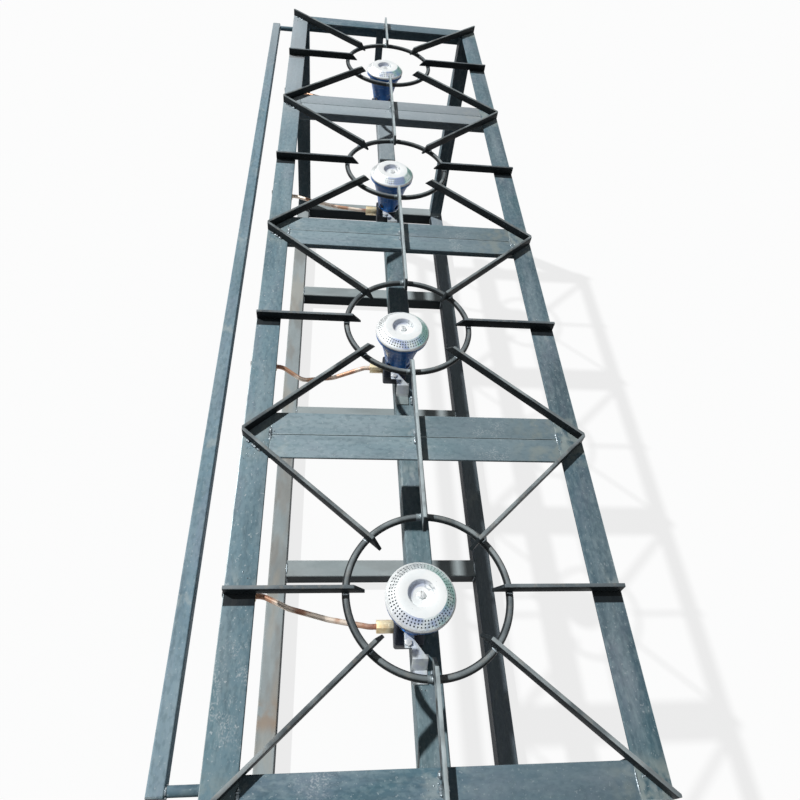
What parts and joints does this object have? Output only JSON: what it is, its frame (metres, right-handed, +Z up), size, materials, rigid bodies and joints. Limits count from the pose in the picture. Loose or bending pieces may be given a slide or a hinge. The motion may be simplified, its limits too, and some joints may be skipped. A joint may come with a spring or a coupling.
{
  "type": "high-pressure gas stove",
  "caption": "Long free-standing gas stove: welded angle frame on square-tube legs, burners hung under ringed pan bars, gas cocks on a manifold and a guard rail along the front.",
  "frame": {"origin": "centre of the bounding box at floor level", "axes": "+X along the stove to the operator's right, -Y towards the front with the guard rail and knobs, +Z up"},
  "size_m": [1.92, 0.58, 0.676],
  "materials": {
    "frame_steel": "bare mill-scale mild steel, blue-grey",
    "pan_steel": "bare mild steel bar",
    "cap_metal": "bright machined cast alloy",
    "bowl_enamel": "royal blue enamel on cast iron",
    "block_iron": "dark blued casting",
    "zinc_strip": "zinc-plated strip",
    "zinc_screw": "bright zinc-plated screws",
    "brass_fitting": "machined brass",
    "copper_pipe": "soft copper tube, tarnished",
    "manifold_steel": "black steel pipe",
    "knob_plastic": "black heat-resistant plastic"
  },
  "bodies": {
    "stand": {"back_rail": "frame_steel", "base_back_rail": "frame_steel", "base_cross_members": "frame_steel", "base_front_rail": "frame_steel", "base_left_end": "frame_steel", "base_right_end": "frame_steel", "beam_hangers": "frame_steel", "bracket_screws": "zinc_screw", "burner_bowl_1": "bowl_enamel", "burner_bowl_2": "bowl_enamel", "burner_bowl_3": "bowl_enamel", "burner_bowl_4": "bowl_enamel", "burner_brackets": "zinc_strip", "burner_cap_1": "cap_metal", "burner_cap_2": "cap_metal", "burner_cap_3": "cap_metal", "burner_cap_4": "cap_metal", "cap_screws": "zinc_screw", "centre_beam": "frame_steel", "cross_member_1": "frame_steel", "cross_member_2": "frame_steel", "cross_member_3": "frame_steel", "end_plates": "frame_steel", "feed_pipe_1": "copper_pipe", "feed_pipe_2": "copper_pipe", "feed_pipe_3": "copper_pipe", "feed_pipe_4": "copper_pipe", "front_rail": "frame_steel", "gas_cocks": "brass_fitting", "gas_jets": "brass_fitting", "guard_rail": "frame_steel", "guard_stubs": "frame_steel", "hose_nozzle": "brass_fitting", "jet_blocks": "block_iron", "left_end_rail": "frame_steel", "leg_back_left": "frame_steel", "leg_back_right": "frame_steel", "leg_front_left": "frame_steel", "leg_front_right": "frame_steel", "manifold": "manifold_steel", "manifold_lugs": "manifold_steel", "middle_bars": "pan_steel", "pan_bars_1": "pan_steel", "pan_bars_2": "pan_steel", "pan_bars_3": "pan_steel", "pan_bars_4": "pan_steel", "pan_ring_1": "pan_steel", "pan_ring_2": "pan_steel", "pan_ring_3": "pan_steel", "pan_ring_4": "pan_steel", "pipe_nuts": "brass_fitting", "right_end_rail": "frame_steel"},
    "knob_body_1": {"knob_1": "knob_plastic", "spindle_1": "brass_fitting"},
    "knob_body_2": {"knob_2": "knob_plastic", "spindle_2": "brass_fitting"},
    "knob_body_3": {"knob_3": "knob_plastic", "spindle_3": "brass_fitting"},
    "knob_body_4": {"knob_4": "knob_plastic", "spindle_4": "brass_fitting"}
  },
  "joints": [
    {"name": "knob_turn_1", "type": "hinge", "parent": "stand", "child": "knob_body_1", "pos_m": [-0.76, -0.22, 0.538], "axis": [0, -1, 0], "range_deg": [0, 90]},
    {"name": "knob_turn_2", "type": "hinge", "parent": "stand", "child": "knob_body_2", "pos_m": [-0.28, -0.22, 0.538], "axis": [0, -1, 0], "range_deg": [0, 90]},
    {"name": "knob_turn_3", "type": "hinge", "parent": "stand", "child": "knob_body_3", "pos_m": [0.246, -0.22, 0.538], "axis": [0, -1, 0], "range_deg": [0, 90]},
    {"name": "knob_turn_4", "type": "hinge", "parent": "stand", "child": "knob_body_4", "pos_m": [0.68, -0.22, 0.538], "axis": [0, -1, 0], "range_deg": [0, 90]}
  ]
}
